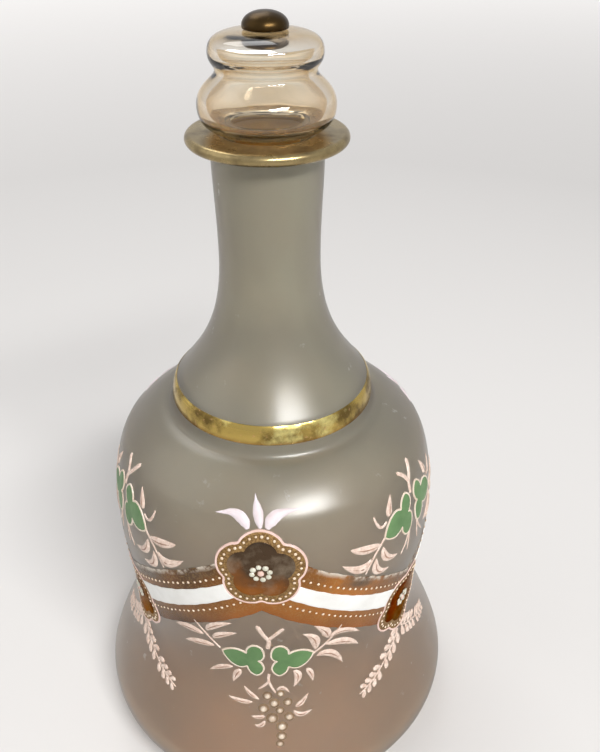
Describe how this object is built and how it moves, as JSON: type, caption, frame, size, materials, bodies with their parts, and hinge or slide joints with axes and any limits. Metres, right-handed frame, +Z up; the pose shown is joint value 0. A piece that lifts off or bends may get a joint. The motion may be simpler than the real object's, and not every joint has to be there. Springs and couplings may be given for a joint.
{
  "type": "carafe",
  "caption": "Bell-shaped frosted glass carafe with raised enamel ornament, gilt neck ring and lip, and a hollow clear stopper that lifts out of the neck.",
  "frame": {"origin": "centre of the foot, on the plane that it stands on", "axes": "+Z up along the carafe's axis; -Y faces a high medallion, the side that the picture shows"},
  "size_m": [0.1256, 0.1256, 0.2397],
  "materials": {
    "frosted_glass": "satin, acid-frosted clear glass with a grey-taupe cast",
    "clear_glass": "polished clear glass with a faint amber tint",
    "gilding": "burnished gold, worn in patches",
    "knob_gilding": "darkened bronze-gold, worn",
    "bronze_gilding": "copper-brown gold, matte beside the beads and burnished in the medallions",
    "white_enamel": "opaque white enamel, slightly chalky",
    "blush_enamel": "opaque pinkish-cream enamel in raised strokes",
    "green_enamel": "opaque leaf-green enamel, flat"
  },
  "bodies": {
    "carafe": {"vessel": "frosted_glass", "lip_gilding": "gilding", "neck_ring_gilding": "gilding", "ribbon_gilding": "bronze_gilding", "medallion_plaque_high_1": "bronze_gilding", "medallion_rim_high_1": "blush_enamel", "medallion_rosette_high_1": "white_enamel", "ribbon_stripe_1": "white_enamel", "leaf_left_high_1": "green_enamel", "leaf_right_high_1": "green_enamel", "medallion_plaque_low_1": "bronze_gilding", "medallion_rim_low_1": "blush_enamel", "medallion_rosette_low_1": "white_enamel", "ribbon_stripe_2": "white_enamel", "leaf_left_low_1": "green_enamel", "leaf_right_low_1": "green_enamel", "medallion_plaque_high_2": "bronze_gilding", "medallion_rim_high_2": "blush_enamel", "medallion_rosette_high_2": "white_enamel", "ribbon_stripe_3": "white_enamel", "leaf_left_high_2": "green_enamel", "leaf_right_high_2": "green_enamel", "medallion_plaque_low_2": "bronze_gilding", "medallion_rim_low_2": "blush_enamel", "medallion_rosette_low_2": "white_enamel", "ribbon_stripe_4": "white_enamel", "leaf_left_low_2": "green_enamel", "leaf_right_low_2": "green_enamel", "medallion_plaque_high_3": "bronze_gilding", "medallion_rim_high_3": "blush_enamel", "medallion_rosette_high_3": "white_enamel", "ribbon_stripe_5": "white_enamel", "leaf_left_high_3": "green_enamel", "leaf_right_high_3": "green_enamel", "medallion_plaque_low_3": "bronze_gilding", "medallion_rim_low_3": "blush_enamel", "medallion_rosette_low_3": "white_enamel", "ribbon_stripe_6": "white_enamel", "leaf_left_low_3": "green_enamel", "leaf_right_low_3": "green_enamel"},
    "stopper": {"stopper_glass": "clear_glass", "stopper_knob": "knob_gilding"}
  },
  "joints": [
    {"name": "stopper_lift", "type": "slide", "parent": "carafe", "child": "stopper", "axis": [0, 0, 1], "range_m": [0, 0.06]}
  ]
}
